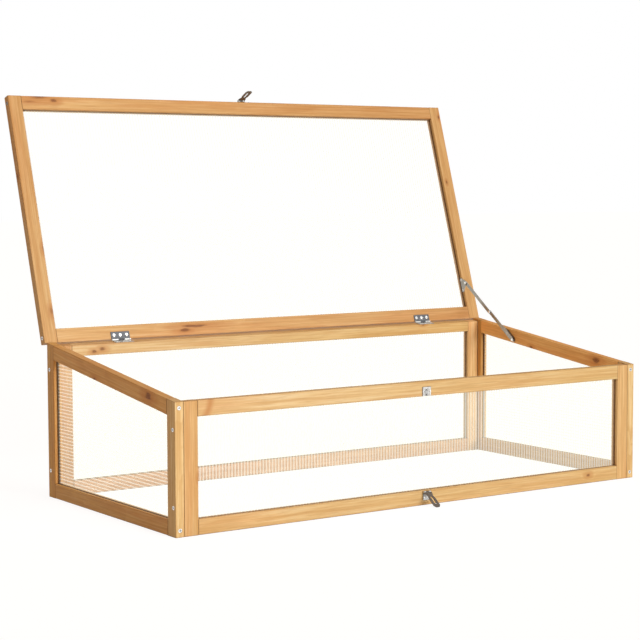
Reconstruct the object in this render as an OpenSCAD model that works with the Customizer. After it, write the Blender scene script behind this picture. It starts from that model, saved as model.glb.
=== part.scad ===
// Cold frame: timber box with twin-wall glazing, hinged lid, folding stay and two hasps.
// Millimetres, +Z up, front of the box towards -Y, lid shown open on its stay.

/* [Box] */

// Width over the side panels
box_w = 1000; // [600:5:1400]
// Depth from the front face to the rear face
box_d = 460; // [320:5:700]
// Height of the front panel
front_h = 217; // [150:1:400]
// Height of the side panels at the rear face
rear_h = 278; // [180:1:500]
// Thickness of the timber members
wood_t = 16; // [12:0.5:30]
// Width of the timber members
wood_w = 26; // [22:0.5:50]
// Rounding of the long edges of the members
arris = 1.2; // [0.4:0.1:3]

/* [Glazing] */

// Thickness of the twin-wall sheet
sheet_t = 4; // [3:0.5:6]
// Thickness of each outer wall of the sheet
skin_t = 0.4; // [0.3:0.05:0.8]
// Thickness of the ribs inside the sheet
rib_t = 0.3; // [0.2:0.05:0.8]
// Spacing of the ribs inside the sheet
rib_pitch = 6; // [4:0.5:12]
// Depth of the groove that holds a sheet
groove_d = 6; // [4:0.5:8]

/* [Lid] */

// Overhang of the lid past each side panel
lid_side = 3; // [0:0.5:20]
// Distance from the hinge axis to the front edge of the lid
lid_l = 470.5; // [320:0.5:720]
// Angle the lid turns through between closed and open
lid_swing = 115; // [60:1:120]

/* [Hinges] */

// Distance of each hinge from the middle of the frame
hinge_x = 350; // [150:5:450]
// Width of a hinge
hinge_w = 38; // [25:1:60]
// Length of a hinge leaf from the axis
leaf_l = 15; // [12:0.5:16]
// Thickness of a hinge leaf
leaf_t = 1; // [0.8:0.1:1.5]
// Outer radius of a hinge barrel
barrel_r = 1.7; // [1.5:0.1:2]
// Radius of a hinge pin
pin_r = 1.1; // [0.8:0.05:1.2]

/* [Stay] */

// Height of the lower pivot above the ground
stay_z = 241.4; // [200:0.2:260]
// Distance of the lower pivot from the front face
stay_y = 329; // [250:1:360]
// Distance of the upper pivot from the lid axis along the lid
stay_v = 77; // [60:1:120]
// Length of the lower link between its pivots
lower_l = 88.7; // [80:0.1:110]
// Width of the two links
link_w = 6.8; // [6.4:0.2:12]
// Thickness of the stay plates
link_t = 1.5; // [1:0.1:2]

/* [Hasps] */

// Distance of the hasps to the right of the middle
hasp_x = 2; // [-20:1:20]
// Width of a hasp strap
strap_w = 15.5; // [12:0.5:25]
// Length of a hasp strap from its axis
strap_l = 38; // [34:1:50]
// Thickness of the strap, leaf and staple plate
strap_t = 1.2; // [1:0.1:1.4]
// Angle of the lid strap outward from the lid edge face
lid_strap_turn = 9; // [0:1:60]
// Angle of the ground strap below horizontal
base_strap_turn = 37; // [0:0.5:38]
// Reach of the staple loop from the front face
loop_reach = 10.5; // [8:0.1:14]

/* [Hidden] */

$fn = 48;

timber = [0.86, 0.66, 0.42];
plastic = [0.88, 0.93, 0.95, 0.45];
zinc = [0.62, 0.62, 0.60];

fit = 0.05;
slack = 0.3;

half_w = box_w / 2;
panel_x = half_w - wood_t;
mid_x = half_w - wood_t / 2;
slope = atan((rear_h - front_h) / box_d);
sheet_in = groove_d - 0.5;
sheet_x = panel_x - wood_w + sheet_in;

// Distance from a hinge axis to the timber under its leaf
throw = barrel_r + slack;
axis_y = box_d;
axis_z = rear_h - barrel_r / cos(slope);
closed_turn = 180 + slope;
rest_turn = closed_turn - lid_swing;
rear_drop = barrel_r + throw + 0.01;
rear_rail_z = rear_h - wood_w;

lid_x = half_w + lid_side;
lid_in_x = lid_x - wood_w;
lid_back = 1.4;
lid_low = -throw - wood_t;
lid_mid = -throw - wood_t / 2;

// Lower pivot, upper pivot and middle pivot of the stay with the lid open
upper_z = 6.5;
stay_top_y = axis_y + stay_v * cos(rest_turn) - upper_z * sin(rest_turn);
stay_top_z = axis_z + stay_v * sin(rest_turn) + upper_z * cos(rest_turn);
stay_turn = atan2(stay_top_z - stay_z, stay_top_y - stay_y);
upper_l = norm([stay_top_y - stay_y, stay_top_z - stay_z]) - lower_l;
elbow_y = stay_y + lower_l * cos(stay_turn);
elbow_z = stay_z + lower_l * sin(stay_turn);
rivet_r = 1.8;
rivet_head_r = 3.1;
bracket_x = lid_in_x - link_t;
upper_x = lid_in_x + 0.2;
lower_x = upper_x + link_t + 0.2;
wall_plate_x = panel_x - link_t;

head_r = 3.4;
head_h = 2.2;
shank_r = 1.9;
low_screw_z = 11;
front_screw_z = front_h - 10;
rear_screw_z = rear_h - 16;
corner_screws_yz = [
    [wood_t / 2, 47],
    [wood_t / 2, front_h - 45],
    [box_d - wood_t / 2, 48],
    [box_d - wood_t / 2, rear_h - 48]
];

staple_z = 199.3;
loop_z = 198;
loop_h = 11;
base_hasp_z = 23;
lid_hasp_z = -2.5;
strap_slot = [12.3, 31];

// Middle of the depth taken up by the frame with its lid open
front_reach = -throw - strap_l * cos(base_strap_turn) - barrel_r * sin(base_strap_turn);
rear_reach = axis_y + lid_l * cos(rest_turn) - lid_low * sin(rest_turn);
origin_y = (front_reach + rear_reach) / 2;

function top_z(y) = front_h + y * tan(slope);

// ---- Placing ----

module placed() {
    translate([0, -origin_y, 0])
        children();
}

module in_lid() {
    placed()
        translate([0, axis_y, axis_z])
            rotate([rest_turn, 0, 0])
                children();
}

module in_closed_lid() {
    placed()
        translate([0, axis_y, axis_z])
            rotate([closed_turn, 0, 0])
                children();
}

// Plate of thickness t with its outline drawn in the YZ plane
module plate_yz(x, t) {
    translate([x, 0, 0])
        rotate([90, 0, 90])
            linear_extrude(t)
                children();
}

module on_front(x, z) {
    translate([x, 0, z])
        rotate([90, 0, 0])
            children();
}

module on_rear(x, z) {
    translate([x, box_d, z])
        rotate([-90, 0, 0])
            children();
}

// Faces along +X for side 1 and along -X for side -1
module on_side(side, x, y, z) {
    translate([side * x, y, z])
        rotate([0, side * 90, 0])
            children();
}

// ---- Timber ----

module soft_rect(a, b) {
    translate([arris, 0])
        square([a - 2 * arris, b]);
    translate([0, arris])
        square([a, b - 2 * arris]);
    for (x = [arris, a - arris])
        for (y = [arris, b - arris])
            translate([x, y])
                circle(r = arris, $fn = 24);
}

module bar_x(x0, x1, y0, y1, z0, z1) {
    translate([x0, y0, z0])
        rotate([90, 0, 90])
            linear_extrude(x1 - x0)
                soft_rect(y1 - y0, z1 - z0);
}

module bar_y(x0, x1, y0, y1, z0, z1) {
    translate([x0, y1, z0])
        rotate([90, 0, 0])
            linear_extrude(y1 - y0)
                soft_rect(x1 - x0, z1 - z0);
}

module bar_z(x0, x1, y0, y1, z0, z1) {
    translate([x0, y0, z0])
        linear_extrude(z1 - z0)
            soft_rect(x1 - x0, y1 - y0);
}

module block(x0, x1, y0, y1, z0, z1) {
    translate([x0, y0, z0])
        cube([x1 - x0, y1 - y0, z1 - z0]);
}

// Everything higher than the sloping top of the side panels less a drop
module above_slope(drop) {
    translate([0, 0, front_h - drop / cos(slope)])
        rotate([slope, 0, 0])
            block(-box_w, box_w, -50, box_d + 60, 0, 120);
}

// ---- Screws ----

module cross_recess(r, depth) {
    for (a = [0, 90])
        rotate([0, 0, a])
            translate([-r * 0.62, -r * 0.15, -depth])
                cube([r * 1.24, r * 0.3, depth + 1]);
}

// Countersunk screw with its head face at z = 0 and its shank along -z
module flat_screw(l, hr, hh, sr) {
    difference() {
        union() {
            translate([0, 0, -hh])
                cylinder(h = hh, r1 = sr, r2 = hr);
            translate([0, 0, -l])
                cylinder(h = l - hh, r = sr);
        }
        cross_recess(hr, hh * 0.6);
    }
}

module flat_screw_hole(l, hr, hh, sr) {
    translate([0, 0, -0.2])
        cylinder(h = 2, r = hr + fit);
    translate([0, 0, -hh - 0.2])
        cylinder(h = hh, r1 = sr + fit, r2 = hr + fit);
    translate([0, 0, -l - 0.4])
        cylinder(h = l - hh + 0.3, r = sr + fit);
}

module frame_screw() {
    translate([0, 0, -0.2])
        flat_screw(44, head_r, head_h, shank_r);
}

module frame_screw_hole() {
    flat_screw_hole(44, head_r, head_h, shank_r);
}

module corner_screw() {
    translate([0, 0, -0.2])
        flat_screw(31, head_r, head_h, shank_r);
}

module corner_screw_hole() {
    flat_screw_hole(31, head_r, head_h, shank_r);
}

// Raised-head screw with the underside of its head at z = 0
module raised_screw(l, hr, sr) {
    difference() {
        union() {
            cylinder(h = 0.8, r1 = hr, r2 = hr * 0.62);
            translate([0, 0, -l])
                cylinder(h = l, r = sr);
        }
        translate([0, 0, 0.8])
            cross_recess(hr * 0.8, 0.5);
    }
}

module raised_screw_hole(l, sr) {
    translate([0, 0, -l - 0.2])
        cylinder(h = l + 1.2, r = sr + fit);
}

// ---- Screw positions ----

module at_side_frame_screws(side) {
    for (z = [low_screw_z, front_screw_z])
        on_front(side * mid_x, z)
            children();
    for (z = [low_screw_z, rear_screw_z])
        on_rear(side * mid_x, z)
            children();
}

module at_corner_screws(side) {
    for (p = corner_screws_yz)
        on_side(side, half_w, p[0], p[1])
            children();
}

module at_panel_screws(y, heights) {
    for (side = [-1, 1])
        for (z = heights)
            on_side(side, panel_x, y, z)
                children();
}

module at_front_screws() {
    at_panel_screws(wood_t / 2, [13, front_h - 11])
        children();
}

module at_rear_screws() {
    at_panel_screws(box_d - wood_t / 2, [13, rear_h - 15.5])
        children();
}

module at_lid_screws() {
    for (side = [-1, 1])
        for (v = [lid_back + 11, lid_l - 13])
            on_side(side, lid_x, v, lid_mid)
                children();
}

module at_leaf_screws() {
    for (side = [-1, 1])
        for (x = [-13, 0, 13])
            translate([side * hinge_x + x, 9, -throw + leaf_t])
                children();
}

module at_stay_lid_screws() {
    for (v = [stay_v - 13, stay_v + 9])
        translate([bracket_x, v, -throw - 2.9])
            rotate([0, -90, 0])
                children();
}

module at_stay_wall_screws() {
    for (d = [10, 20])
        translate([wall_plate_x, stay_y + d * cos(stay_turn), stay_z + d * sin(stay_turn)])
            rotate([0, -90, 0])
                children();
}

module at_staple_screws() {
    for (x = [-5.8, 5.8])
        translate([hasp_x + x, -strap_t, staple_z])
            rotate([90, 0, 0])
                children();
}

module at_hasp_leaf_screws() {
    for (x = [-4, 4])
        translate([x, -9, -throw + strap_t])
            children();
}

// ---- Front and rear panels ----

module upright(side, y0, high, groove_top) {
    difference() {
        bar_z(-wood_w / 2, wood_w / 2, y0, y0 + wood_t, 0, high);
        block(-side * wood_w / 2 - groove_d, -side * wood_w / 2 + groove_d,
            y0 + wood_t / 2 - 2.1, y0 + wood_t / 2 + 2.1, wood_w - groove_d, groove_top);
    }
}

module front_stile(side) {
    difference() {
        translate([side * (panel_x - wood_w / 2), 0, 0])
            upright(side, 0, front_h, front_h - wood_w + groove_d);
        at_front_screws()
            frame_screw_hole();
        at_corner_screws(side)
            corner_screw_hole();
    }
}

module front_left_stile() {
    color(timber)
        placed()
            front_stile(-1);
}

module front_right_stile() {
    color(timber)
        placed()
            front_stile(1);
}

module front_top_rail() {
    rail_z = front_h - wood_w;
    color(timber)
        placed()
            difference() {
                bar_x(-panel_x + wood_w, panel_x - wood_w, 0, wood_t, rail_z, front_h);
                block(-box_w, box_w, wood_t / 2 - 2.1, wood_t / 2 + 2.1, rail_z - 1, rail_z + groove_d);
                at_front_screws()
                    frame_screw_hole();
                at_staple_screws()
                    raised_screw_hole(12, 1.5);
            }
}

module front_bottom_rail() {
    color(timber)
        placed()
            difference() {
                bar_x(-panel_x + wood_w, panel_x - wood_w, 0, wood_t, 0, wood_w);
                block(-box_w, box_w, wood_t / 2 - 2.1, wood_t / 2 + 2.1, wood_w - groove_d, wood_w + 1);
                at_front_screws()
                    frame_screw_hole();
                in_base_hasp()
                    at_hasp_leaf_screws()
                        raised_screw_hole(12, 1.3);
            }
}

module rear_stile(side) {
    difference() {
        translate([side * (panel_x - wood_w / 2), 0, 0])
            upright(side, box_d - wood_t, rear_h, rear_rail_z + groove_d);
        above_slope(rear_drop);
        at_rear_screws()
            frame_screw_hole();
        at_corner_screws(side)
            corner_screw_hole();
    }
}

module rear_left_stile() {
    color(timber)
        placed()
            rear_stile(-1);
}

module rear_right_stile() {
    color(timber)
        placed()
            rear_stile(1);
}

module rear_top_rail() {
    mid_y = box_d - wood_t / 2;
    color(timber)
        placed()
            difference() {
                bar_x(-panel_x + wood_w, panel_x - wood_w, box_d - wood_t, box_d, rear_rail_z, rear_h);
                above_slope(rear_drop);
                block(-box_w, box_w, mid_y - 2.1, mid_y + 2.1, rear_rail_z - 1, rear_rail_z + groove_d);
                at_rear_screws()
                    frame_screw_hole();
                translate([0, axis_y, axis_z])
                    rotate([closed_turn, 0, 0])
                        mirror([0, 0, 1])
                            at_leaf_screws()
                                raised_screw_hole(11, 1.6);
            }
}

module rear_bottom_rail() {
    mid_y = box_d - wood_t / 2;
    color(timber)
        placed()
            difference() {
                bar_x(-panel_x + wood_w, panel_x - wood_w, box_d - wood_t, box_d, 0, wood_w);
                block(-box_w, box_w, mid_y - 2.1, mid_y + 2.1, wood_w - groove_d, wood_w + 1);
                at_rear_screws()
                    frame_screw_hole();
            }
}

// ---- Side panels ----

module side_front_stile() {
    difference() {
        bar_z(mid_x - wood_t / 2, mid_x + wood_t / 2, 0, wood_w, 0, rear_h);
        above_slope(0);
        block(mid_x - 2.1, mid_x + 2.1, wood_w - groove_d, wood_w + 1,
            wood_w - groove_d, top_z(wood_w) - wood_w + groove_d + 0.5);
        at_side_frame_screws(1)
            frame_screw_hole();
        at_corner_screws(1)
            corner_screw_hole();
    }
}

module side_rear_stile() {
    stile_y = box_d - wood_w;
    difference() {
        bar_z(mid_x - wood_t / 2, mid_x + wood_t / 2, stile_y, box_d, 0, rear_h + 1);
        above_slope(0);
        block(mid_x - 2.1, mid_x + 2.1, stile_y - 1, stile_y + groove_d,
            wood_w - groove_d, top_z(stile_y) - wood_w + groove_d + 1);
        at_side_frame_screws(1)
            frame_screw_hole();
        at_corner_screws(1)
            corner_screw_hole();
    }
}

module side_top_rail() {
    difference() {
        intersection() {
            translate([0, 0, front_h])
                rotate([slope, 0, 0])
                    difference() {
                        bar_y(mid_x - wood_t / 2, mid_x + wood_t / 2, -10, box_d + 20, -wood_w, 0);
                        block(mid_x - 2.1, mid_x + 2.1, -20, box_d + 30, -wood_w - 1, -wood_w + groove_d);
                    }
            block(0, box_w, wood_w, box_d - wood_w, 0, 2 * rear_h);
        }
        at_side_frame_screws(1)
            frame_screw_hole();
    }
}

module side_bottom_rail() {
    difference() {
        bar_y(mid_x - wood_t / 2, mid_x + wood_t / 2, wood_w, box_d - wood_w, 0, wood_w);
        block(mid_x - 2.1, mid_x + 2.1, 0, box_d, wood_w - groove_d, wood_w + 1);
        at_side_frame_screws(1)
            frame_screw_hole();
    }
}

module left_front_stile() {
    color(timber)
        placed()
            mirror([1, 0, 0])
                side_front_stile();
}

module left_rear_stile() {
    color(timber)
        placed()
            mirror([1, 0, 0])
                side_rear_stile();
}

module left_top_rail() {
    color(timber)
        placed()
            mirror([1, 0, 0])
                side_top_rail();
}

module left_bottom_rail() {
    color(timber)
        placed()
            mirror([1, 0, 0])
                side_bottom_rail();
}

module right_front_stile() {
    color(timber)
        placed()
            side_front_stile();
}

module right_rear_stile() {
    color(timber)
        placed()
            side_rear_stile();
}

module right_top_rail() {
    color(timber)
        placed()
            difference() {
                side_top_rail();
                at_stay_wall_screws()
                    raised_screw_hole(11, 1.4);
            }
}

module right_bottom_rail() {
    color(timber)
        placed()
            side_bottom_rail();
}

// ---- Sheets ----

// Section of a twin-wall sheet of width w across its ribs
module sheet_section(w) {
    count = floor((w - 2 * rib_t) / rib_pitch);
    edge = (w - count * rib_pitch) / 2;
    difference() {
        square([w, sheet_t]);
        for (i = [0 : count - 1])
            translate([edge + i * rib_pitch + rib_t / 2, skin_t])
                square([rib_pitch - rib_t, sheet_t - 2 * skin_t]);
    }
}

module upright_sheet(y0, z0, z1) {
    translate([-sheet_x, y0 + (wood_t + sheet_t) / 2, z0])
        mirror([0, 1, 0])
            linear_extrude(z1 - z0)
                sheet_section(2 * sheet_x);
}

module front_sheet() {
    color(plastic)
        placed()
            upright_sheet(0, wood_w - sheet_in, front_h - wood_w + sheet_in);
}

module rear_sheet() {
    color(plastic)
        placed()
            upright_sheet(box_d - wood_t, wood_w - sheet_in, rear_rail_z + sheet_in);
}

module side_sheet() {
    sheet_h = rear_h - 2 * wood_w + 2 * sheet_in;
    difference() {
        translate([mid_x - sheet_t / 2, box_d - wood_w + sheet_in, wood_w - sheet_in])
            rotate([90, 0, 0])
                linear_extrude(box_d - 2 * wood_w + 2 * sheet_in)
                    translate([sheet_t, 0])
                        rotate([0, 0, 90])
                            sheet_section(sheet_h);
        above_slope(wood_w - sheet_in);
    }
}

module left_sheet() {
    color(plastic)
        placed()
            mirror([1, 0, 0])
                side_sheet();
}

module right_sheet() {
    color(plastic)
        placed()
            side_sheet();
}

module lid_sheet() {
    v0 = lid_back + wood_w - sheet_in;
    color(plastic)
        in_lid()
            translate([-lid_in_x - sheet_in, lid_l - wood_w + sheet_in, lid_mid - sheet_t / 2])
                rotate([90, 0, 0])
                    linear_extrude(lid_l - wood_w + sheet_in - v0)
                        sheet_section(2 * (lid_in_x + sheet_in));
}

// ---- Lid timber ----

module lid_stile() {
    difference() {
        bar_y(lid_in_x, lid_x, lid_back, lid_l, lid_low, -throw);
        block(lid_in_x - 1, lid_in_x + groove_d, lid_back + wood_w - groove_d,
            lid_l - wood_w + groove_d, lid_mid - 2.1, lid_mid + 2.1);
        at_lid_screws()
            frame_screw_hole();
    }
}

module lid_left_stile() {
    color(timber)
        in_lid()
            mirror([1, 0, 0])
                lid_stile();
}

module lid_right_stile() {
    color(timber)
        in_lid()
            difference() {
                lid_stile();
                at_stay_lid_screws()
                    raised_screw_hole(13, 1.4);
            }
}

module lid_front_rail() {
    color(timber)
        in_lid()
            difference() {
                bar_x(-lid_in_x, lid_in_x, lid_l - wood_w, lid_l, lid_low, -throw);
                block(-box_w, box_w, lid_l - wood_w - 1, lid_l - wood_w + groove_d,
                    lid_mid - 2.1, lid_mid + 2.1);
                at_lid_screws()
                    frame_screw_hole();
                on_lid_hasp()
                    at_hasp_leaf_screws()
                        raised_screw_hole(12, 1.3);
            }
}

module lid_rear_rail() {
    color(timber)
        in_lid()
            difference() {
                bar_x(-lid_in_x, lid_in_x, lid_back, lid_back + wood_w, lid_low, -throw);
                block(-box_w, box_w, lid_back + wood_w - groove_d, lid_back + wood_w + 1,
                    lid_mid - 2.1, lid_mid + 2.1);
                at_lid_screws()
                    frame_screw_hole();
                at_leaf_screws()
                    raised_screw_hole(11, 1.6);
            }
}

// ---- Timber screws ----

module front_frame_screws() {
    color(zinc)
        placed()
            at_front_screws()
                frame_screw();
}

module rear_frame_screws() {
    color(zinc)
        placed()
            at_rear_screws()
                frame_screw();
}

module left_frame_screws() {
    color(zinc)
        placed()
            at_side_frame_screws(-1)
                frame_screw();
}

module right_frame_screws() {
    color(zinc)
        placed()
            at_side_frame_screws(1)
                frame_screw();
}

module lid_frame_screws() {
    color(zinc)
        in_lid()
            at_lid_screws()
                frame_screw();
}

module left_corner_screws() {
    color(zinc)
        placed()
            at_corner_screws(-1)
                corner_screw();
}

module right_corner_screws() {
    color(zinc)
        placed()
            at_corner_screws(1)
                corner_screw();
}

// ---- Butt hinges ----

function knuckles(w, outer) =
    let (k = (w - 2 * slack) / 3)
    outer ? [-w / 2, w / 2 - k] : [-k / 2];

// Hinge leaf on the -Z side of its axis with its plate running along +Y
module leaf(w, l, t, outer) {
    k = (w - 2 * slack) / 3;
    difference() {
        union() {
            translate([-w / 2, throw, -throw])
                cube([w, l - throw, t]);
            for (x = knuckles(w, outer)) {
                translate([x, 0, -throw])
                    cube([k, throw, t]);
                translate([x, 0, 0])
                    rotate([0, 90, 0])
                        cylinder(h = k, r = barrel_r);
            }
        }
        translate([-w, 0, 0])
            rotate([0, 90, 0])
                cylinder(h = 2 * w, r = pin_r + fit);
    }
}

module pin(w) {
    translate([-w / 2 - 0.4, 0, 0])
        rotate([0, 90, 0])
            cylinder(h = w + 0.8, r = pin_r);
}

module butt_leaf(x, outer) {
    translate([x, 0, 0])
        difference() {
            leaf(hinge_w, leaf_l, leaf_t, outer);
            for (dx = [-13, 0, 13])
                translate([dx, 9, -throw - 1])
                    cylinder(h = 4, r = 1.6 + fit);
        }
}

module left_hinge_lid_leaf() {
    color(zinc)
        in_lid()
            butt_leaf(-hinge_x, false);
}

module left_hinge_wall_leaf() {
    color(zinc)
        in_closed_lid()
            mirror([0, 0, 1])
                butt_leaf(-hinge_x, true);
}

module left_hinge_pin() {
    color(zinc)
        in_closed_lid()
            translate([-hinge_x, 0, 0])
                pin(hinge_w);
}

module right_hinge_lid_leaf() {
    color(zinc)
        in_lid()
            butt_leaf(hinge_x, false);
}

module right_hinge_wall_leaf() {
    color(zinc)
        in_closed_lid()
            mirror([0, 0, 1])
                butt_leaf(hinge_x, true);
}

module right_hinge_pin() {
    color(zinc)
        in_closed_lid()
            translate([hinge_x, 0, 0])
                pin(hinge_w);
}

module hinge_lid_screws() {
    color(zinc)
        in_lid()
            at_leaf_screws()
                raised_screw(11, 3.3, 1.6);
}

module hinge_wall_screws() {
    color(zinc)
        in_closed_lid()
            mirror([0, 0, 1])
                at_leaf_screws()
                    raised_screw(11, 3.3, 1.6);
}

// ---- Stay ----

module link_outline(l) {
    circle(r = link_w / 2);
    translate([l, 0])
        circle(r = link_w / 2);
    translate([0, -link_w / 2])
        square([l, link_w]);
}

module stay_lid_bracket() {
    color(zinc)
        in_lid()
            difference() {
                plate_yz(bracket_x, link_t)
                    difference() {
                        union() {
                            translate([stay_v, upper_z])
                                circle(r = 4);
                            polygon([
                                [stay_v - 17, -throw - 5.4], [stay_v + 13, -throw - 5.4],
                                [stay_v + 13, -throw - 1], [stay_v + 3.6, upper_z + 1.8],
                                [stay_v - 3.6, upper_z + 1.8], [stay_v - 17, -throw - 1]
                            ]);
                        }
                        translate([stay_v, upper_z])
                            circle(r = rivet_r + fit);
                    }
                at_stay_lid_screws()
                    raised_screw_hole(13, 1.4);
            }
}

module stay_upper_link() {
    color(zinc)
        placed()
            plate_yz(upper_x, link_t)
                translate([elbow_y, elbow_z])
                    rotate([0, 0, stay_turn])
                        difference() {
                            link_outline(upper_l);
                            circle(r = rivet_r + fit);
                            translate([upper_l, 0])
                                circle(r = rivet_r + fit);
                        }
}

module stay_lower_link() {
    color(zinc)
        placed()
            plate_yz(lower_x, link_t)
                translate([stay_y, stay_z])
                    rotate([0, 0, stay_turn])
                        difference() {
                            union() {
                                link_outline(lower_l);
                                square([41, link_w / 2 + 1.1]);
                            }
                            circle(r = rivet_r + fit);
                            translate([lower_l, 0])
                                circle(r = rivet_r + fit);
                        }
}

module stay_wall_bracket() {
    color(zinc)
        placed()
            difference() {
                plate_yz(wall_plate_x, link_t)
                    translate([stay_y, stay_z])
                        rotate([0, 0, stay_turn])
                            difference() {
                                union() {
                                    circle(r = 4.4);
                                    translate([24, 0])
                                        circle(r = 4.4);
                                    translate([0, -4.4])
                                        square([24, 8.8]);
                                }
                                circle(r = rivet_r + fit);
                            }
                at_stay_wall_screws()
                    flat_screw_hole(12, 2.6, 1.2, 1.4);
            }
}

// Rivet along +X with its head in front of its plates
module rivet(x, l, head_l) {
    translate([x, 0, 0])
        rotate([0, 90, 0])
            cylinder(h = l, r = rivet_r);
    translate([x - head_l, 0, 0])
        rotate([0, 90, 0])
            cylinder(h = head_l, r1 = rivet_head_r * 0.65, r2 = rivet_head_r);
}

module stay_upper_rivet() {
    color(zinc)
        in_lid()
            translate([0, stay_v, upper_z])
                rivet(bracket_x, upper_x + link_t - bracket_x, 1.2);
}

module stay_elbow_rivet() {
    color(zinc)
        placed()
            translate([0, elbow_y, elbow_z])
                rivet(upper_x, link_t, 1.1);
}

module stay_lower_rivet() {
    color(zinc)
        placed()
            translate([0, stay_y, stay_z])
                rivet(lower_x, panel_x - lower_x, 1.1);
}

module stay_lid_screws() {
    color(zinc)
        in_lid()
            at_stay_lid_screws()
                raised_screw(13, 2.4, 1.4);
}

module stay_wall_screws() {
    color(zinc)
        placed()
            at_stay_wall_screws()
                translate([0, 0, -0.2])
                    flat_screw(11, 2.6, 1.2, 1.4);
}

// ---- Hasps ----

module on_lid_hasp() {
    translate([hasp_x, lid_l + throw, lid_hasp_z])
        rotate([90, 0, 180])
            children();
}

module in_base_hasp() {
    translate([hasp_x, -throw, base_hasp_z])
        rotate([90, 0, 0])
            children();
}

module hasp_leaf() {
    difference() {
        mirror([0, 1, 0])
            leaf(strap_w, 14, strap_t, true);
        at_hasp_leaf_screws()
            raised_screw_hole(4, 1.3);
    }
}

// Strap along +Y with its plate level with the +Z side of its barrel
module hasp_strap() {
    k = (strap_w - 2 * slack) / 3;
    half = strap_w / 2;
    neck = half - 2.6;
    eye = half - 0.8;
    difference() {
        union() {
            translate([0, 0, barrel_r - strap_t])
                linear_extrude(strap_t)
                    polygon([
                        [-half, throw], [half, throw], [half, 5], [neck, 11], [eye, 17],
                        [eye, strap_l - 4], [eye - 3.5, strap_l], [-eye + 3.5, strap_l],
                        [-eye, strap_l - 4], [-eye, 17], [-neck, 11], [-half, 5]
                    ]);
            translate([-k / 2, 0, barrel_r - strap_t])
                cube([k, throw, strap_t]);
            translate([-k / 2, 0, 0])
                rotate([0, 90, 0])
                    cylinder(h = k, r = barrel_r);
        }
        translate([-k, 0, 0])
            rotate([0, 90, 0])
                cylinder(h = 2 * k, r = pin_r + fit);
        translate([0, 0, -1])
            linear_extrude(4) {
                translate([-1.8, strap_slot[0] + 1.8])
                    square([3.6, strap_slot[1] - strap_slot[0] - 3.6]);
                for (v = [strap_slot[0] + 1.8, strap_slot[1] - 1.8])
                    translate([0, v])
                        circle(r = 1.8);
            }
    }
}

module lid_hasp_leaf() {
    color(zinc)
        in_lid()
            on_lid_hasp()
                hasp_leaf();
}

module lid_hasp_strap() {
    color(zinc)
        in_lid()
            on_lid_hasp()
                rotate([lid_strap_turn, 0, 0])
                    hasp_strap();
}

module lid_hasp_pin() {
    color(zinc)
        in_lid()
            on_lid_hasp()
                pin(strap_w);
}

module lid_hasp_screws() {
    color(zinc)
        in_lid()
            on_lid_hasp()
                at_hasp_leaf_screws()
                    raised_screw(12, 2.4, 1.3);
}

module base_hasp_leaf() {
    color(zinc)
        placed()
            in_base_hasp()
                hasp_leaf();
}

module base_hasp_strap() {
    color(zinc)
        placed()
            in_base_hasp()
                rotate([90 + base_strap_turn, 0, 0])
                    mirror([0, 0, 1])
                        hasp_strap();
}

module base_hasp_pin() {
    color(zinc)
        placed()
            in_base_hasp()
                pin(strap_w);
}

module base_hasp_screws() {
    color(zinc)
        placed()
            in_base_hasp()
                at_hasp_leaf_screws()
                    raised_screw(12, 2.4, 1.3);
}

// ---- Staple ----

module staple_plate() {
    color(zinc)
        placed()
            difference() {
                block(hasp_x - 9, hasp_x + 9, -strap_t, 0, staple_z - 8, staple_z + 8);
                at_staple_screws()
                    raised_screw_hole(4, 1.5);
            }
}

module staple_loop() {
    color(zinc)
        placed()
            plate_yz(hasp_x - 1, 2)
                difference() {
                    union() {
                        translate([-loop_reach + 3, loop_z - loop_h / 2])
                            square([loop_reach - 3 - strap_t, loop_h]);
                        translate([-loop_reach, loop_z - loop_h / 2 + 3])
                            square([4, loop_h - 6]);
                        for (z = [loop_z - loop_h / 2 + 3, loop_z + loop_h / 2 - 3])
                            translate([-loop_reach + 3, z])
                                circle(r = 3);
                    }
                    translate([-loop_reach + 2, loop_z - loop_h / 2 + 2])
                        square([loop_reach, loop_h - 4]);
                }
}

module staple_screws() {
    color(zinc)
        placed()
            at_staple_screws()
                raised_screw(12, 2.5, 1.5);
}

// ---- Output ----

front_left_stile();
front_right_stile();
front_top_rail();
front_bottom_rail();
front_sheet();
rear_left_stile();
rear_right_stile();
rear_top_rail();
rear_bottom_rail();
rear_sheet();
left_front_stile();
left_rear_stile();
left_top_rail();
left_bottom_rail();
left_sheet();
right_front_stile();
right_rear_stile();
right_top_rail();
right_bottom_rail();
right_sheet();
lid_left_stile();
lid_right_stile();
lid_front_rail();
lid_rear_rail();
lid_sheet();
front_frame_screws();
rear_frame_screws();
left_frame_screws();
right_frame_screws();
lid_frame_screws();
left_corner_screws();
right_corner_screws();
left_hinge_lid_leaf();
left_hinge_wall_leaf();
left_hinge_pin();
right_hinge_lid_leaf();
right_hinge_wall_leaf();
right_hinge_pin();
hinge_lid_screws();
hinge_wall_screws();
stay_lid_bracket();
stay_upper_link();
stay_lower_link();
stay_wall_bracket();
stay_upper_rivet();
stay_elbow_rivet();
stay_lower_rivet();
stay_lid_screws();
stay_wall_screws();
lid_hasp_leaf();
lid_hasp_strap();
lid_hasp_pin();
lid_hasp_screws();
staple_plate();
staple_loop();
staple_screws();
base_hasp_leaf();
base_hasp_strap();
base_hasp_pin();
base_hasp_screws();
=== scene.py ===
import math
import random

import bmesh
import bpy
from mathutils import Matrix, Vector


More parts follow.
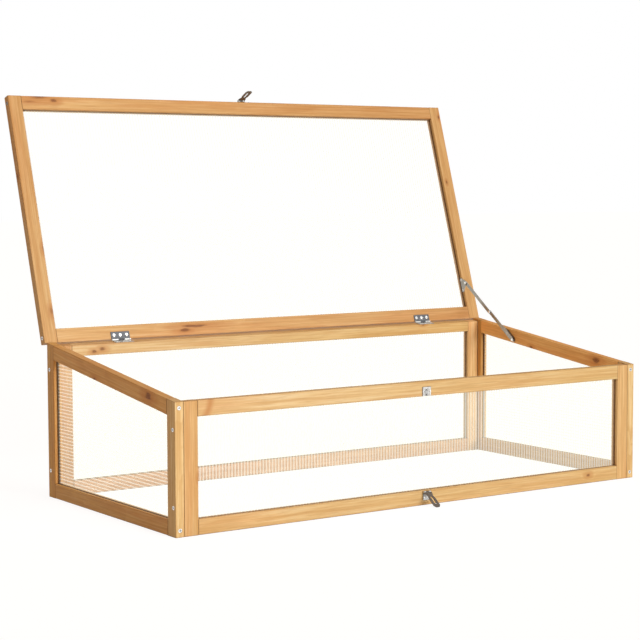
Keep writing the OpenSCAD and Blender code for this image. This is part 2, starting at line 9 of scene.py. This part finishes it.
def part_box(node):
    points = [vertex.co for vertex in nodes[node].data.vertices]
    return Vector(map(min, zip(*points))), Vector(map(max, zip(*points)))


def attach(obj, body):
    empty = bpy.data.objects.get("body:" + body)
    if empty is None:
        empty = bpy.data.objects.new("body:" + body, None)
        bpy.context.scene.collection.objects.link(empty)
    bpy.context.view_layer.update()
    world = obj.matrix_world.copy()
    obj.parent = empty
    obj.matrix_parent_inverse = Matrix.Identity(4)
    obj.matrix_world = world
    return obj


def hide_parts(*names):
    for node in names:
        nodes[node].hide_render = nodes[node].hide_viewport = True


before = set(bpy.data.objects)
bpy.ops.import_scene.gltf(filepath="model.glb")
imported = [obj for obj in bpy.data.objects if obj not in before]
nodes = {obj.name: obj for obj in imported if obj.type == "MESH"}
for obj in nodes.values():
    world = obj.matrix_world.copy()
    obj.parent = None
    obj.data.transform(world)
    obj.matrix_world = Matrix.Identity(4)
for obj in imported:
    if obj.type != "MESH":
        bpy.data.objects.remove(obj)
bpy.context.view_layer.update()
scene = bpy.context.scene
scene.view_settings.view_transform = "Standard"
scene.view_settings.look = "None"

X, Y, Z = Vector((1, 0, 0)), Vector((0, 1, 0)), Vector((0, 0, 1))

# ---- Camera ----

EYE = Vector((-1.84815, -2.668576, 0.55421))
LOOK = Vector((0.56315, 0.82283, -0.0762)).normalized()
ROLL = math.radians(-0.202)
LENS_MM = 97.83

level_right = LOOK.cross(Z).normalized()
level_up = level_right.cross(LOOK)
right = level_right * math.cos(ROLL) + level_up * math.sin(ROLL)
up = right.cross(LOOK)
camera = bpy.data.objects.new("camera", bpy.data.cameras.new("camera"))
camera.data.lens = LENS_MM
camera.data.sensor_width = 36
camera.data.clip_end = 60
camera.matrix_world = Matrix(
    (
        (right.x, up.x, -LOOK.x, EYE.x),
        (right.y, up.y, -LOOK.y, EYE.y),
        (right.z, up.z, -LOOK.z, EYE.z),
        (0, 0, 0, 1),
    )
)
scene.collection.objects.link(camera)
scene.camera = camera

# ---- Light ----

# white surroundings for the eye, a dimmer warm fill for surfaces, and for gloss
# a studio that is bright in front and above and dim at the sides and behind
WHITE = (1, 1, 1, 1)
FILL = (0.42, 0.32, 0.235, 1)
PANEL_SIDE = (0.15, -0.75, 0.65)
PANEL_START, PANEL_FULL = -0.2, 0.85
PANEL_DIM, PANEL_BRIGHT = 0.16, 1.15
SUN_POWER = 2.34
SUN_SPREAD = math.radians(35)
SUN_COLOUR = (0.93, 0.98, 1)
SUN_SIDE = Vector((0.22, -0.95, 0.25))

world = bpy.data.worlds.new("studio")
scene.world = world
world.use_nodes = True
sky = world.node_tree
ray = sky.nodes.new("ShaderNodeLightPath")
tint = sky.nodes.new("ShaderNodeMix")
tint.data_type = "RGBA"
tint.inputs["A"].default_value = WHITE
tint.inputs["B"].default_value = FILL
sky.links.new(ray.outputs["Is Diffuse Ray"], tint.inputs["Factor"])
facing = sky.nodes.new("ShaderNodeVectorMath")
facing.operation = "DOT_PRODUCT"
facing.inputs[1].default_value = PANEL_SIDE
sky.links.new(sky.nodes.new("ShaderNodeTexCoord").outputs["Generated"], facing.inputs[0])
panel = sky.nodes.new("ShaderNodeMapRange")
panel.interpolation_type = "SMOOTHSTEP"
panel.inputs["From Min"].default_value = PANEL_START
panel.inputs["From Max"].default_value = PANEL_FULL
panel.inputs["To Min"].default_value = PANEL_DIM
panel.inputs["To Max"].default_value = PANEL_BRIGHT
sky.links.new(facing.outputs["Value"], panel.inputs["Value"])
gloss = sky.nodes.new("ShaderNodeMix")
gloss.data_type = "RGBA"
mirrored = sky.nodes.new("ShaderNodeMath")
mirrored.operation = "SUBTRACT"
mirrored.use_clamp = True
sky.links.new(ray.outputs["Is Glossy Ray"], mirrored.inputs[0])
sky.links.new(ray.outputs["Is Transmission Ray"], mirrored.inputs[1])
sky.links.new(mirrored.outputs[0], gloss.inputs["Factor"])
sky.links.new(tint.outputs["Result"], gloss.inputs["A"])
sky.links.new(panel.outputs["Result"], gloss.inputs["B"])
sky.links.new(gloss.outputs["Result"], sky.nodes["Background"].inputs["Color"])

key = bpy.data.objects.new("key", bpy.data.lights.new("key", "SUN"))
key.data.energy = SUN_POWER
key.data.angle = SUN_SPREAD
key.data.color = SUN_COLOUR
key.rotation_euler = SUN_SIDE.to_track_quat("Z", "Y").to_euler()
scene.collection.objects.link(key)


# ---- Node helpers ----


class Graph:
    """A material's node tree with short calls for the nodes used here."""

    def __init__(self, name):
        self.material = bpy.data.materials.new(name)
        self.material.use_nodes = True
        self.tree = self.material.node_tree
        self.shader = self.tree.nodes["Principled BSDF"]
        self.output = self.tree.nodes["Material Output"]

    def new(self, kind, **settings):
        node = self.tree.nodes.new(kind)
        for key, value in settings.items():
            setattr(node, key, value)
        return node

    def put(self, socket, value):
        if isinstance(value, bpy.types.NodeSocket):
            self.tree.links.new(value, socket)
        else:
            socket.default_value = value

    def place(self):
        return self.new("ShaderNodeTexCoord").outputs["Object"]

    def math(self, operation, a, b=0.0):
        node = self.new("ShaderNodeMath", operation=operation)
        self.put(node.inputs[0], a)
        self.put(node.inputs[1], b)
        return node.outputs[0]

    def add(self, a, b):
        return self.math("ADD", a, b)

    def times(self, a, b):
        return self.math("MULTIPLY", a, b)

    def dot(self, vector, direction):
        node = self.new("ShaderNodeVectorMath", operation="DOT_PRODUCT")
        self.put(node.inputs[0], vector)
        node.inputs[1].default_value = direction
        return node.outputs["Value"]

    def vector(self, x, y, z):
        node = self.new("ShaderNodeCombineXYZ")
        for socket, value in zip(node.inputs, (x, y, z)):
            self.put(socket, value)
        return node.outputs[0]

    def length(self, x, y, z):
        node = self.new("ShaderNodeVectorMath", operation="LENGTH")
        self.put(node.inputs[0], self.vector(x, y, z))
        return node.outputs["Value"]

    def noise(self, vector, scale=1.0, detail=3.0, rough=0.5):
        node = self.new("ShaderNodeTexNoise")
        self.put(node.inputs["Vector"], vector)
        node.inputs["Scale"].default_value = scale
        node.inputs["Detail"].default_value = detail
        node.inputs["Roughness"].default_value = rough
        return node.outputs["Fac"]

    def span(self, value, a, b, c=0.0, d=1.0):
        node = self.new("ShaderNodeMapRange", interpolation_type="SMOOTHSTEP")
        self.put(node.inputs["Value"], value)
        for key, number in zip(("From Min", "From Max", "To Min", "To Max"), (a, b, c, d)):
            node.inputs[key].default_value = number
        return node.outputs[0]

    def mix(self, factor, a, b):
        node = self.new("ShaderNodeMix", data_type="RGBA")
        self.put(node.inputs["Factor"], factor)
        for key, value in (("A", a), ("B", b)):
            if isinstance(value, tuple):
                value = (*value, 1)
            self.put(node.inputs[key], value)
        return node.outputs["Result"]

    def crevice(self, distance):
        """1 deep in a crevice narrower than about twice distance, 0 in the open; the mask for painted shade.
        """
        node = self.new("ShaderNodeAmbientOcclusion", samples=8)
        node.inputs["Distance"].default_value = distance
        return self.span(node.outputs["AO"], 0.45, 0.95, 1, 0)

    def rim(self, distance):
        """1 on an outer edge of the piece, 0 further than about distance from one."""
        node = self.new("ShaderNodeAmbientOcclusion", samples=8, inside=True, only_local=True)
        node.inputs["Distance"].default_value = distance
        return self.span(node.outputs["AO"], 0.45, 0.98, 1, 0)

    def bump(self, height, distance, strength=1.0):
        node = self.new("ShaderNodeBump")
        node.inputs["Distance"].default_value = distance
        node.inputs["Strength"].default_value = strength
        self.put(node.inputs["Height"], height)
        self.put(self.shader.inputs["Normal"], node.outputs[0])


# ---- Timber ----

# the lid's own directions: along its slope, and out of its inner face
LID_TURN = math.radians(72.554)
LID_V = Vector((0, math.cos(LID_TURN), math.sin(LID_TURN)))
LID_OUT = Vector((0, -math.sin(LID_TURN), math.cos(LID_TURN)))
SLOPE = math.atan(61 / 460)
SLOPE_V = Vector((0, math.cos(SLOPE), math.sin(SLOPE)))
SLOPE_OUT = Vector((0, -math.sin(SLOPE), math.cos(SLOPE)))

# for each way a member can lie: along the grain, then the two ways across it
ALONG_X = (X, Y, Z)
ALONG_Y = (Y, X, Z)
ALONG_Z = (Z, X, Y)
LID_ACROSS = (X, LID_V, LID_OUT)
LID_ALONG = (LID_V, X, LID_OUT)
ALONG_SLOPE = (SLOPE_V, X, SLOPE_OUT)

PALE = (0.860, 0.620, 0.330)
EARLY = (0.800, 0.520, 0.232)
LATE = (0.640, 0.345, 0.118)
RUDDY = (0.760, 0.400, 0.160)
STREAK = (0.480, 0.225, 0.075)
HALO = (0.560, 0.235, 0.070)
KNOT = (0.300, 0.110, 0.035)
HEART = (0.130, 0.045, 0.018)
EDGE_DARK = (0.420, 0.200, 0.065)
# painted shade in crevices, grooves and between parts
CREVICE_SHADE = (0.190, 0.072, 0.025)


RING_STEP = 0.0032


def timber(node, axes, tone, pith, seed, end_tone=None, contrast=0.6, figure=1, knots=(), arcs=()):
    """Planed softwood. tone multiplies the colour, fading to end_tone at the far end along the grain.
    pith is the tree's centre across the grain from the member's middle, in metres. knots are
    (along, across, across, radius, roundness) and arcs (along, across, across, radius, width)."""
    low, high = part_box(node)
    middle = (low + high) / 2
    rng = random.Random(seed)
    g = Graph("timber_" + node)
    place = g.place()
    u, v, w = [g.math("SUBTRACT", g.dot(place, axis), middle.dot(axis)) for axis in axes]
    shift = rng.uniform(-40, 40)

    def streaks(along, across, detail=2.0, rough=0.5):
        start = g.add(g.times(u, along), shift)
        return g.noise(g.vector(start, g.times(v, across), g.times(w, across)), 1, detail, rough)

    def offset(item):
        return [g.math("SUBTRACT", part, centre) for part, centre in zip((u, v, w), item)]

    # distance from the nearest knot, counted in knot radii
    near = None
    for knot in knots:
        du, dv, dw = offset(knot)
        share = g.math("DIVIDE", g.length(g.times(du, knot[4]), dv, dw), knot[3])
        near = share if near is None else g.math("MINIMUM", near, share)
    if near is not None:
        near = g.add(near, g.times(g.math("SUBTRACT", streaks(60, 220, 2), 0.5), 1.5))

    # growth rings about the pith, which wanders along the length
    across = g.length(g.math("SUBTRACT", v, pith[0]), g.math("SUBTRACT", w, pith[1]), 0.0)
    wander = g.times(streaks(1.6 * figure, 3), 0.034)
    ripple = g.times(streaks(11 * figure, 70, 3), 0.0022 * figure)
    radius = g.add(g.add(across, wander), ripple)
    if near is not None:
        radius = g.add(radius, g.times(g.span(near, 0, 4.5, 1, 0), 0.008))
    crowd = g.times(g.math("SINE", g.times(radius, 190)), 0.45)
    phase = g.math("FRACT", g.add(g.math("DIVIDE", radius, RING_STEP), crowd))
    late = g.times(g.span(phase, 0.1, 0.86), g.span(phase, 0.9, 1.0, 1, 0))

    broad = streaks(3.2, 45, 3)
    patch = streaks(3, 20, 2)
    line = streaks(7, 330, 3, 0.6)
    fibre = streaks(26, 900, 3, 0.6)
    grain = g.times(g.times(late, contrast), g.span(patch, 0.3, 0.72, 0.3, 1.0))
    colour = g.mix(grain, EARLY, LATE)
    colour = g.mix(g.span(broad, 0.42, 0.74, 0, 0.75), colour, RUDDY)
    colour = g.mix(g.span(line, 0.32, 0.56, 0.72, 0), colour, LATE)
    colour = g.mix(g.span(line, 0.50, 0.70, 0, 0.62), colour, PALE)
    colour = g.mix(g.span(fibre, 0.25, 0.60, 0.40, 0), colour, STREAK)
    for arc in arcs:
        edge = g.math("ABSOLUTE", g.math("SUBTRACT", g.length(*offset(arc)), arc[3]))
        colour = g.mix(g.span(edge, 0, arc[4], 0.85, 0), colour, HALO)
    if near is not None:
        colour = g.mix(g.span(near, 0.9, 4.2, 0.65, 0), colour, HALO)
        heart = g.mix(g.span(g.math("SINE", g.times(near, 13)), -1, 1), KNOT, HEART)
        colour = g.mix(g.span(near, 0.35, 1.4, 0.85, 0), colour, heart)
    half = max(abs(axes[0].dot(high - low)), 0.01) / 2
    shade = g.new("ShaderNodeMix", data_type="RGBA", blend_type="MULTIPLY")
    shade.inputs["Factor"].default_value = 1
    g.put(shade.inputs["A"], colour)
    g.put(shade.inputs["B"], g.mix(g.span(u, -half, half), tone, end_tone or tone))
    # darker along the outer edges of each piece
    colour = g.mix(g.times(g.rim(0.0019), 0.68), shade.outputs["Result"], EDGE_DARK)
    # painted shade: darker where other surfaces close in, from ambient occlusion
    colour = g.mix(g.times(g.crevice(0.0018), 0.95), colour, CREVICE_SHADE)
    g.put(g.shader.inputs["Base Color"], colour)
    g.put(g.shader.inputs["Roughness"], g.span(fibre, 0.2, 0.8, 0.42, 0.62))
    g.shader.inputs["Specular IOR Level"].default_value = 0.2
    g.bump(g.add(g.times(late, 0.5), fibre), 0.00025, 0.5)
    piece = nodes[node]
    piece.data.materials.clear()
    piece.data.materials.append(g.material)


timber("front_left_stile", ALONG_Z, (0.97, 0.94, 0.88), (0.002, 0.05), 1,
       knots=((-0.0165, 0.0145, -0.008, 0.0024, 0.5), (0.006, -0.002, 0.004, 0.0035, 0.6)))
timber("front_right_stile", ALONG_Z, (1.02, 1.0, 0.97), (0.006, 0.06), 2)
timber("front_top_rail", ALONG_X, (1.05, 1.12, 1.25), (0.055, 0.004), 3,
       end_tone=(1, 1.06, 1.04), contrast=0.45,
       arcs=((-0.484, -0.008, 0.017, 0.050, 0.0105),))
timber("front_bottom_rail", ALONG_X, (0.99, 1.01, 1.02), (0.05, -0.006), 4, end_tone=(1.01, 1.07, 1.08),
       knots=((0.385, -0.007, 0.002, 0.0028, 0.6),))
timber("rear_left_stile", ALONG_Z, (0.78, 0.65, 0.64), (0.0, 0.05), 5, end_tone=(0.86, 0.76, 0.74))
timber("rear_right_stile", ALONG_Z, (1.18, 1.22, 1.28), (0.004, 0.06), 6)
# the last entry is not a round knot but a dark streak stretched along the top edge
timber("rear_top_rail", ALONG_X, (1.0, 1.07, 1.2), (0.05, 0.006), 7, end_tone=(0.93, 0.94, 0.84),
       knots=((-0.414, -0.009, -0.005, 0.0030, 0.6), (-0.398, -0.009, -0.001, 0.0034, 0.6),
              (0.340, -0.008, 0.008, 0.0018, 0.4), (-0.385, -0.008, 0.0125, 0.0022, 0.06)))
timber("rear_bottom_rail", ALONG_X, (1.02, 1.0, 1.42), (0.05, 0.0), 8, end_tone=(0.97, 0.90, 1.02))
for side, seed, lift in (("left", 9, 1), ("right", 29, 1.2)):
    timber(side + "_front_stile", ALONG_Z, (1.08, 1.16, 1.20), (0.01, 0.05), seed, contrast=1.0, figure=3)
    timber(side + "_rear_stile", ALONG_Z, (0.95, 0.83, 0.59), (0.05, 0.0), seed + 1, figure=2)
    timber(side + "_top_rail", ALONG_SLOPE, (1.06 * lift, 0.90 * lift, 0.67 * lift), (0.05, 0.004), seed + 2,
           figure=1.8,
           knots=((-0.145, -0.009, 0.003, 0.0048, 0.5), (0.044, -0.008, -0.011, 0.0024, 0.5)))
    timber(side + "_bottom_rail", ALONG_Y, (1.0, 0.88, 0.67), (0.05, 0.0), seed + 3, figure=1.8)
timber("lid_left_stile", LID_ALONG, (0.91, 0.85, 0.79), (0.004, -0.05), 13, end_tone=(0.88, 0.79, 0.69),
       knots=((-0.058, 0.0135, 0.008, 0.0028, 0.4), (-0.177, 0.011, 0.006, 0.0034, 0.5),
              (0.081, -0.013, 0.0, 0.0024, 0.5)))
timber("lid_right_stile", LID_ALONG, (0.86, 0.78, 0.68), (0.0, -0.055), 14,
       knots=((0.066, -0.004, 0.008, 0.0018, 0.5), (0.213, 0.008, 0.008, 0.0018, 0.5)))
timber("lid_front_rail", LID_ACROSS, (0.96, 0.90, 0.83), (0.004, -0.05), 15, end_tone=(0.82, 0.68, 0.55),
       knots=((-0.412, 0.0055, 0.009, 0.0038, 0.6), (-0.442, 0.0125, 0.009, 0.0038, 0.22),
              (-0.463, 0.001, 0.0105, 0.0026, 0.14)))
timber("lid_rear_rail", LID_ACROSS, (0.96, 0.92, 0.90), (0.002, -0.05), 16, end_tone=(0.84, 0.75, 0.67),
       knots=((-0.212, -0.003, 0.008, 0.0034, 0.35), (-0.19, 0.004, 0.009, 0.0026, 0.1)))

# ---- Metal ----


def metal(name, colour, rough, stain=(0.2, 0.17, 0.14), wear=0.4, reach=0.0008):
    g = Graph(name)
    place = g.place()
    cloud = g.noise(place, 260, 4, 0.6)
    fine = g.noise(place, 2600, 2)
    worn = g.mix(g.span(cloud, 0.42, 0.75, 0, wear), colour, stain)
    # painted shade: near black where the surface sits in a crevice, within reach of it
    g.put(g.shader.inputs["Base Color"], g.mix(g.crevice(reach), worn, (0.03, 0.027, 0.024)))
    g.put(g.shader.inputs["Roughness"], g.span(fine, 0.2, 0.8, rough - 0.08, rough + 0.1))
    g.shader.inputs["Metallic"].default_value = 1.0
    g.bump(g.add(cloud, fine), 0.0001, 0.4)
    return g.material


screw_metal = metal("bright_zinc", (0.86, 0.85, 0.83), 0.24, wear=0.15, reach=0.0016)
leaf_metal = metal("steel_leaf", (0.085, 0.085, 0.09), 0.5, stain=(0.2, 0.19, 0.18))
# painted glint: the hinge's wall leaf much lighter than its lid leaf, for its lit top
glinting_wall_leaf_metal = metal("wall_leaf_painted_glint", (0.62, 0.60, 0.57), 0.36)
# a wider reach paints more shade on the staple plate, around its loop and screws
plate_metal = metal("zinc_plate", (0.54, 0.53, 0.51), 0.34, reach=0.0045)
# painted shade: the hasp strap much darker than the hasp's fixed leaf, for its face in shadow; the brown
# mottling is stain
shaded_strap_metal = metal("strap_painted_shade", (0.15, 0.12, 0.098), 0.42, stain=(0.28, 0.23, 0.19))
link_metal = metal("link_zinc", (0.40, 0.375, 0.34), 0.34, stain=(0.2, 0.17, 0.14))

METALS = (
    ("screws", screw_metal),
    ("pin", screw_metal),
    ("rivet", screw_metal),
    ("stay", link_metal),
    ("strap", shaded_strap_metal),
    ("hasp_leaf", plate_metal),
    ("staple_loop", screw_metal),
    ("staple", plate_metal),
    ("hinge_wall_leaf", glinting_wall_leaf_metal),
    ("hinge", leaf_metal),
)
for name, piece in nodes.items():
    for word, material in METALS:
        if word in name:
            piece.data.materials.clear()
            piece.data.materials.append(material)
            break

# ---- Twin-wall sheets ----

RIB_PITCH = 0.006
RIB_THICK = 0.0009
SHEET_THICK = 0.004
SKIN_THICK = 0.0004

# widths of the border, most of it in the groove, where the timber keeps daylight out of the sheet
JAMB_EDGE = 0.010
RAIL_EDGE = 0.0062

# colour of the daylight that comes through one face of plastic
DAYLIGHT = (0.94, 0.93, 0.92, 1)
SKIN_SLOT, RIB_SLOT, SHADED_EDGE_SLOT = 0, 1, 2


def milky(name, body, painted_glow, strength, alpha):
    """Clear plastic with a little milk in it, its body colour clouded between two tones.
    The painted glow is painted light, an emission the same whatever light falls on the sheet, for the
    daylight that spreads inside the wall."""
    g = Graph(name)
    haze = g.noise(g.place(), 9, 3)
    g.put(g.shader.inputs["Base Color"], g.mix(haze, *body))
    g.put(g.shader.inputs["Roughness"], g.span(haze, 0.2, 0.8, 0.22, 0.34))
    g.shader.inputs["Emission Color"].default_value = (*painted_glow, 1)
    g.shader.inputs["Emission Strength"].default_value = strength
    g.shader.inputs["Alpha"].default_value = alpha
    rays = g.new("ShaderNodeLightPath")
    clear = g.new("ShaderNodeBsdfTransparent")
    clear.inputs["Color"].default_value = DAYLIGHT
    both = g.new("ShaderNodeMixShader")
    g.put(both.inputs[0], rays.outputs["Is Shadow Ray"])
    g.put(both.inputs[1], g.shader.outputs[0])
    g.put(both.inputs[2], clear.outputs[0])
    g.put(g.output.inputs["Surface"], both.outputs[0])
    return g.material


# skins and ribs glow with painted light
skin_material = milky(
    "twin_wall_skin", ((0.24, 0.235, 0.225), (0.20, 0.195, 0.185)),
    painted_glow=(1, 0.98, 0.70), strength=0.87, alpha=0.10
)
rib_material = milky(
    "twin_wall_rib", ((0.22, 0.215, 0.21), (0.18, 0.175, 0.17)),
    painted_glow=(1, 0.985, 0.88), strength=0.88, alpha=0.22
)
# painted shade: a brown body and no glow, for the sheet where the groove keeps daylight off it
shaded_edge_material = milky(
    "twin_wall_edge_painted_shade", ((0.52, 0.30, 0.15), (0.44, 0.24, 0.11)),
    painted_glow=(1, 0.6, 0.3), strength=0.0, alpha=0.13
)


def slab(bm, corners, out, thick, slot):
    """A closed flat slab on the given corner points, thick across out."""
    near = [bm.verts.new(c + out * (thick / 2)) for c in corners]
    far = [bm.verts.new(c - out * (thick / 2)) for c in corners]
    faces = [bm.faces.new(near), bm.faces.new(list(reversed(far)))]
    for i in range(len(corners)):
        j = (i + 1) % len(corners)
        faces.append(bm.faces.new((near[j], near[i], far[i], far[j])))
    for face in faces:
        face.material_index = slot


def sheet(node, body, corners, out, ribs):
    """A sheet as one closed skin on its corners, with ribs inside, each from one point to another.
    A strip along each side of it, wider at a jamb than at a rail, gets the edge material with painted shade."""
    bm = bmesh.new()
    slab(bm, corners, out, SHEET_THICK, SKIN_SLOT)
    height = SHEET_THICK - 2 * SKIN_THICK
    for start, end in ribs:
        across = (end - start).normalized().cross(out) * (RIB_THICK / 2)
        slab(bm, (start - across, end - across, end + across, start + across), out, height, RIB_SLOT)
    centre = sum(corners, Vector()) / len(corners)
    for corner, following in zip(corners, corners[1:] + corners[:1]):
        along = (following - corner).normalized()
        inward = out.cross(along)
        if inward.dot(centre - corner) < 0:
            inward = -inward
        upright = abs(along.z) > 0.5
        border = corner + inward * (JAMB_EDGE if upright else RAIL_EDGE)
        parts = bm.verts[:] + bm.edges[:] + bm.faces[:]
        bmesh.ops.bisect_plane(bm, geom=parts, plane_co=border, plane_no=inward)
        for face in bm.faces:
            if (face.calc_center_median() - border).dot(inward) < 0:
                face.material_index = SHADED_EDGE_SLOT
    bmesh.ops.recalc_face_normals(bm, faces=bm.faces)
    mesh = bpy.data.meshes.new(node + "_skin")
    bm.to_mesh(mesh)
    bm.free()
    for material in (skin_material, rib_material, shaded_edge_material):
        mesh.materials.append(material)
    piece = bpy.data.objects.new(node + "_skin", mesh)
    scene.collection.objects.link(piece)
    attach(piece, body)
    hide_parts(node)


def rib_places(low, high):
    """Places at the rib pitch between low and high, with the two end gaps equal."""
    count = int((high - low - RIB_THICK) / RIB_PITCH)
    first = (low + high - count * RIB_PITCH) / 2
    return [first + i * RIB_PITCH for i in range(count + 1)]


for node in ("front_sheet", "rear_sheet"):
    low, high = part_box(node)
    y = (low.y + high.y) / 2
    outline = ((low.x, low.z), (high.x, low.z), (high.x, high.z), (low.x, high.z))
    corners = [Vector((a, y, b)) for a, b in outline]
    ribs = [(Vector((x, y, low.z)), Vector((x, y, high.z))) for x in rib_places(low.x, high.x)]
    sheet(node, "base", corners, -Y, ribs)

for node in ("left_sheet", "right_sheet"):
    low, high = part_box(node)
    x = (low.x + high.x) / 2
    front_top = high.z - (high.y - low.y) * math.tan(SLOPE)
    outline = ((low.y, low.z), (high.y, low.z), (high.y, high.z), (low.y, front_top))
    corners = [Vector((x, a, b)) for a, b in outline]
    ribs = []
    for z in rib_places(low.z, high.z):
        start = low.y + max(0, z + RIB_THICK - front_top) / math.tan(SLOPE)
        ribs.append((Vector((x, start, z)), Vector((x, high.y, z))))
    sheet(node, "base", corners, X, ribs)

low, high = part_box("lid_sheet")
lid_middle = Vector((0, (low.y + high.y) / 2, (low.z + high.z) / 2))
reach = LID_V * (((high.y - low.y) - SHEET_THICK * math.sin(LID_TURN)) / math.cos(LID_TURN) / 2)


def on_lid(x, end):
    return lid_middle + X * x + reach * end


corners = [on_lid(a, b) for a, b in ((low.x, -1), (high.x, -1), (high.x, 1), (low.x, 1))]
ribs = [(on_lid(x, -1), on_lid(x, 1)) for x in rib_places(low.x, high.x)]
sheet("lid_sheet", "lid", corners, LID_OUT, ribs)

# ---- Floor ----

FLOOR_HALF = 25
FLOOR_GAP = 0.0002
FLOOR_GLOW = 0.895

bm = bmesh.new()
bmesh.ops.create_grid(bm, x_segments=1, y_segments=1, size=FLOOR_HALF)
mesh = bpy.data.meshes.new("floor")
bm.to_mesh(mesh)
bm.free()
floor = bpy.data.objects.new("floor", mesh)
floor.location.z = -FLOOR_GAP
scene.collection.objects.link(floor)
g = Graph("floor_white")
g.shader.inputs["Roughness"].default_value = 0.9
g.shader.inputs["Specular IOR Level"].default_value = 0
g.shader.inputs["Emission Color"].default_value = WHITE
# bright to the eye, but a plain pale grey to the light that it throws back on the timber
bounce = g.new("ShaderNodeLightPath").outputs["Is Diffuse Ray"]
g.put(g.shader.inputs["Base Color"], g.mix(bounce, (0.2, 0.2, 0.2), (0.5, 0.5, 0.5)))
g.put(g.shader.inputs["Emission Strength"], g.span(bounce, 0, 1, FLOOR_GLOW, 0))
floor.data.materials.append(g.material)
